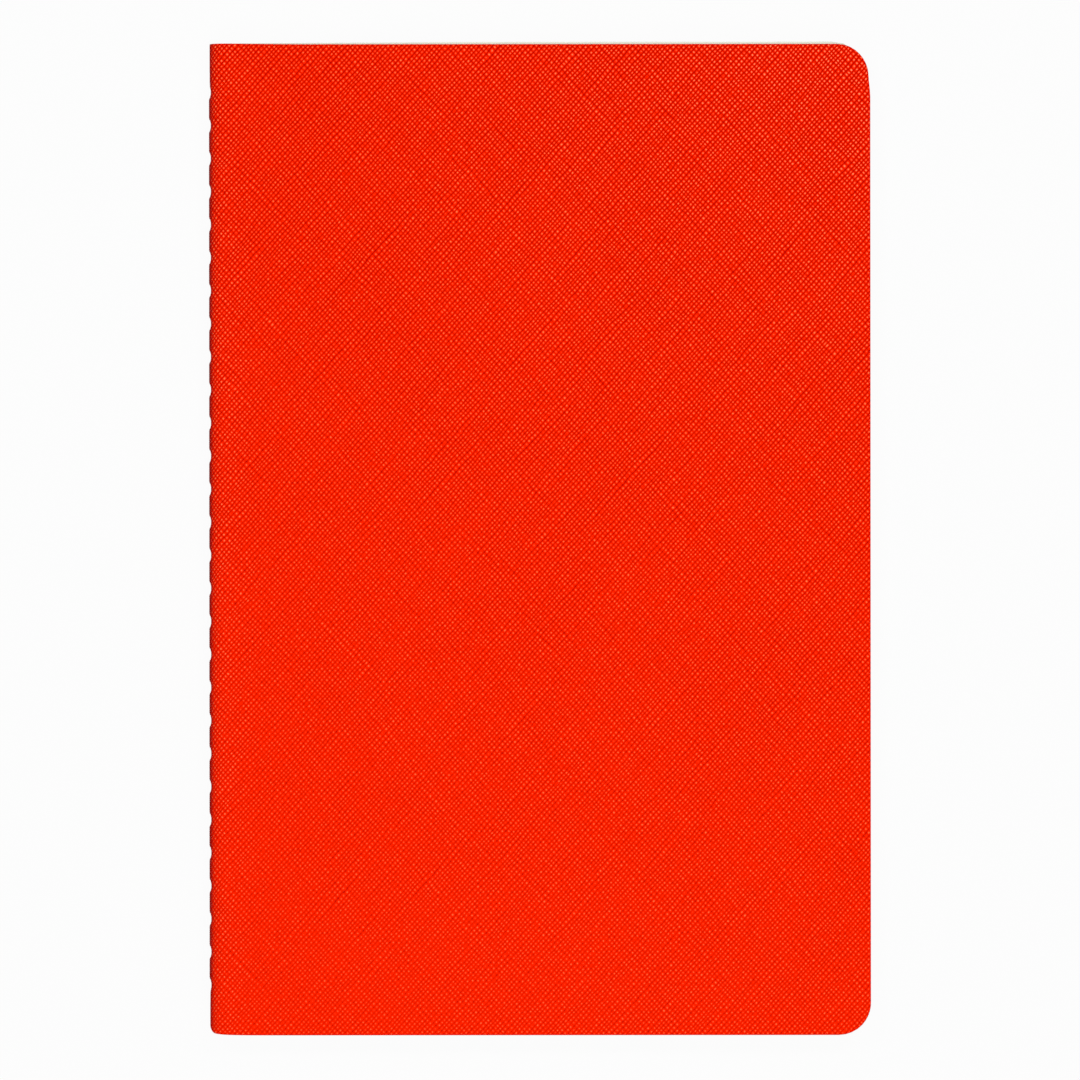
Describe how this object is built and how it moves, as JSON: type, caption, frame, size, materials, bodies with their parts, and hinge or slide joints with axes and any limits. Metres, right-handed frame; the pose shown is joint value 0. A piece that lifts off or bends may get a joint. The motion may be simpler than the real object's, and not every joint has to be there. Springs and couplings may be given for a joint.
{
  "type": "stitched notebook",
  "caption": "Slim soft-cover notebook: folded paper sheets sewn through the fold into an embossed red wrap-around cover.",
  "frame": {"origin": "middle of the notebook's bounding box, at the underside of the back cover", "axes": "+X from the spine to the fore-edge, +Y from tail to head, +Z from the back cover to the front cover"},
  "size_m": [0.14, 0.21, 0.0065],
  "materials": {
    "leatherette": "cross-hatched emboss, semi-gloss",
    "lining_paper": "matt",
    "paper": "matt",
    "thread": "twisted thread"
  },
  "bodies": {
    "back_half": {"back_cover": "leatherette", "back_lining": "lining_paper", "needle_thread": "thread", "bobbin_thread": "thread", "sheet_01_back_leaf": "paper", "sheet_02_back_leaf": "paper", "sheet_03_back_leaf": "paper", "sheet_04_back_leaf": "paper", "sheet_05_back_leaf": "paper", "sheet_06_back_leaf": "paper", "sheet_07_back_leaf": "paper", "sheet_08_back_leaf": "paper", "sheet_09_back_leaf": "paper", "sheet_10_back_leaf": "paper", "sheet_11_back_leaf": "paper", "sheet_12_back_leaf": "paper", "sheet_13_back_leaf": "paper", "sheet_14_back_leaf": "paper", "sheet_15_back_leaf": "paper", "sheet_16_back_leaf": "paper", "sheet_17_back_leaf": "paper", "sheet_18_back_leaf": "paper", "sheet_19_back_leaf": "paper", "sheet_20_back_leaf": "paper"},
    "front_spine": {"spine_front": "leatherette", "spine_lining": "lining_paper"},
    "front_panel": {"front_cover": "leatherette", "front_lining": "lining_paper"},
    "sheet_01_front": {"sheet_01_front_leaf": "paper"},
    "sheet_02_front": {"sheet_02_front_leaf": "paper"},
    "sheet_03_front": {"sheet_03_front_leaf": "paper"},
    "sheet_04_front": {"sheet_04_front_leaf": "paper"},
    "sheet_05_front": {"sheet_05_front_leaf": "paper"},
    "sheet_06_front": {"sheet_06_front_leaf": "paper"},
    "sheet_07_front": {"sheet_07_front_leaf": "paper"},
    "sheet_08_front": {"sheet_08_front_leaf": "paper"},
    "sheet_09_front": {"sheet_09_front_leaf": "paper"},
    "sheet_10_front": {"sheet_10_front_leaf": "paper"},
    "sheet_11_front": {"sheet_11_front_leaf": "paper"},
    "sheet_12_front": {"sheet_12_front_leaf": "paper"},
    "sheet_13_front": {"sheet_13_front_leaf": "paper"},
    "sheet_14_front": {"sheet_14_front_leaf": "paper"},
    "sheet_15_front": {"sheet_15_front_leaf": "paper"},
    "sheet_16_front": {"sheet_16_front_leaf": "paper"},
    "sheet_17_front": {"sheet_17_front_leaf": "paper"},
    "sheet_18_front": {"sheet_18_front_leaf": "paper"},
    "sheet_19_front": {"sheet_19_front_leaf": "paper"},
    "sheet_20_front": {"sheet_20_front_leaf": "paper"}
  },
  "joints": [
    {"name": "notebook_opens", "type": "hinge", "parent": "back_half", "child": "front_spine", "pos_m": [-0.07002, 0, 0.00324], "axis": [0, -1, 0], "range_deg": [0, 180]},
    {"name": "front_cover_opens", "type": "hinge", "parent": "front_spine", "child": "front_panel", "pos_m": [-0.06656, 0, 0.0065], "axis": [0, -1, 0], "range_deg": [0, 180]},
    {"name": "sheet_01_front_turns", "type": "hinge", "parent": "back_half", "child": "sheet_01_front", "pos_m": [-0.07002, 0, 0.00324], "axis": [0, -1, 0], "range_deg": [0, 180]},
    {"name": "sheet_02_front_turns", "type": "hinge", "parent": "back_half", "child": "sheet_02_front", "pos_m": [-0.07002, 0, 0.00324], "axis": [0, -1, 0], "range_deg": [0, 180]},
    {"name": "sheet_03_front_turns", "type": "hinge", "parent": "back_half", "child": "sheet_03_front", "pos_m": [-0.07002, 0, 0.00324], "axis": [0, -1, 0], "range_deg": [0, 180]},
    {"name": "sheet_04_front_turns", "type": "hinge", "parent": "back_half", "child": "sheet_04_front", "pos_m": [-0.07002, 0, 0.00324], "axis": [0, -1, 0], "range_deg": [0, 180]},
    {"name": "sheet_05_front_turns", "type": "hinge", "parent": "back_half", "child": "sheet_05_front", "pos_m": [-0.07002, 0, 0.00324], "axis": [0, -1, 0], "range_deg": [0, 180]},
    {"name": "sheet_06_front_turns", "type": "hinge", "parent": "back_half", "child": "sheet_06_front", "pos_m": [-0.07002, 0, 0.00324], "axis": [0, -1, 0], "range_deg": [0, 180]},
    {"name": "sheet_07_front_turns", "type": "hinge", "parent": "back_half", "child": "sheet_07_front", "pos_m": [-0.07002, 0, 0.00324], "axis": [0, -1, 0], "range_deg": [0, 180]},
    {"name": "sheet_08_front_turns", "type": "hinge", "parent": "back_half", "child": "sheet_08_front", "pos_m": [-0.07002, 0, 0.00324], "axis": [0, -1, 0], "range_deg": [0, 180]},
    {"name": "sheet_09_front_turns", "type": "hinge", "parent": "back_half", "child": "sheet_09_front", "pos_m": [-0.07002, 0, 0.00324], "axis": [0, -1, 0], "range_deg": [0, 180]},
    {"name": "sheet_10_front_turns", "type": "hinge", "parent": "back_half", "child": "sheet_10_front", "pos_m": [-0.07002, 0, 0.00324], "axis": [0, -1, 0], "range_deg": [0, 180]},
    {"name": "sheet_11_front_turns", "type": "hinge", "parent": "back_half", "child": "sheet_11_front", "pos_m": [-0.07002, 0, 0.00324], "axis": [0, -1, 0], "range_deg": [0, 180]},
    {"name": "sheet_12_front_turns", "type": "hinge", "parent": "back_half", "child": "sheet_12_front", "pos_m": [-0.07002, 0, 0.00324], "axis": [0, -1, 0], "range_deg": [0, 180]},
    {"name": "sheet_13_front_turns", "type": "hinge", "parent": "back_half", "child": "sheet_13_front", "pos_m": [-0.07002, 0, 0.00324], "axis": [0, -1, 0], "range_deg": [0, 180]},
    {"name": "sheet_14_front_turns", "type": "hinge", "parent": "back_half", "child": "sheet_14_front", "pos_m": [-0.07002, 0, 0.00324], "axis": [0, -1, 0], "range_deg": [0, 180]},
    {"name": "sheet_15_front_turns", "type": "hinge", "parent": "back_half", "child": "sheet_15_front", "pos_m": [-0.07002, 0, 0.00324], "axis": [0, -1, 0], "range_deg": [0, 180]},
    {"name": "sheet_16_front_turns", "type": "hinge", "parent": "back_half", "child": "sheet_16_front", "pos_m": [-0.07002, 0, 0.00324], "axis": [0, -1, 0], "range_deg": [0, 180]},
    {"name": "sheet_17_front_turns", "type": "hinge", "parent": "back_half", "child": "sheet_17_front", "pos_m": [-0.07002, 0, 0.00324], "axis": [0, -1, 0], "range_deg": [0, 180]},
    {"name": "sheet_18_front_turns", "type": "hinge", "parent": "back_half", "child": "sheet_18_front", "pos_m": [-0.07002, 0, 0.00324], "axis": [0, -1, 0], "range_deg": [0, 180]},
    {"name": "sheet_19_front_turns", "type": "hinge", "parent": "back_half", "child": "sheet_19_front", "pos_m": [-0.07002, 0, 0.00324], "axis": [0, -1, 0], "range_deg": [0, 180]},
    {"name": "sheet_20_front_turns", "type": "hinge", "parent": "back_half", "child": "sheet_20_front", "pos_m": [-0.07002, 0, 0.00324], "axis": [0, -1, 0], "range_deg": [0, 180]}
  ],
  "couplings": [
    {"joint": "sheet_01_front_turns", "follows": "notebook_opens", "ratio": 0.9997},
    {"joint": "sheet_02_front_turns", "follows": "notebook_opens", "ratio": 0.9991},
    {"joint": "sheet_03_front_turns", "follows": "notebook_opens", "ratio": 0.9983},
    {"joint": "sheet_04_front_turns", "follows": "notebook_opens", "ratio": 0.9973},
    {"joint": "sheet_05_front_turns", "follows": "notebook_opens", "ratio": 0.9962},
    {"joint": "sheet_06_front_turns", "follows": "notebook_opens", "ratio": 0.9949},
    {"joint": "sheet_07_front_turns", "follows": "notebook_opens", "ratio": 0.9935},
    {"joint": "sheet_08_front_turns", "follows": "notebook_opens", "ratio": 0.9919},
    {"joint": "sheet_09_front_turns", "follows": "notebook_opens", "ratio": 0.9902},
    {"joint": "sheet_10_front_turns", "follows": "notebook_opens", "ratio": 0.9885},
    {"joint": "sheet_11_front_turns", "follows": "notebook_opens", "ratio": 0.9866},
    {"joint": "sheet_12_front_turns", "follows": "notebook_opens", "ratio": 0.9845},
    {"joint": "sheet_13_front_turns", "follows": "notebook_opens", "ratio": 0.9824},
    {"joint": "sheet_14_front_turns", "follows": "notebook_opens", "ratio": 0.9802},
    {"joint": "sheet_15_front_turns", "follows": "notebook_opens", "ratio": 0.9779},
    {"joint": "sheet_16_front_turns", "follows": "notebook_opens", "ratio": 0.9755},
    {"joint": "sheet_17_front_turns", "follows": "notebook_opens", "ratio": 0.973},
    {"joint": "sheet_18_front_turns", "follows": "notebook_opens", "ratio": 0.9704},
    {"joint": "sheet_19_front_turns", "follows": "notebook_opens", "ratio": 0.9678},
    {"joint": "sheet_20_front_turns", "follows": "notebook_opens", "ratio": 0.965}
  ]
}
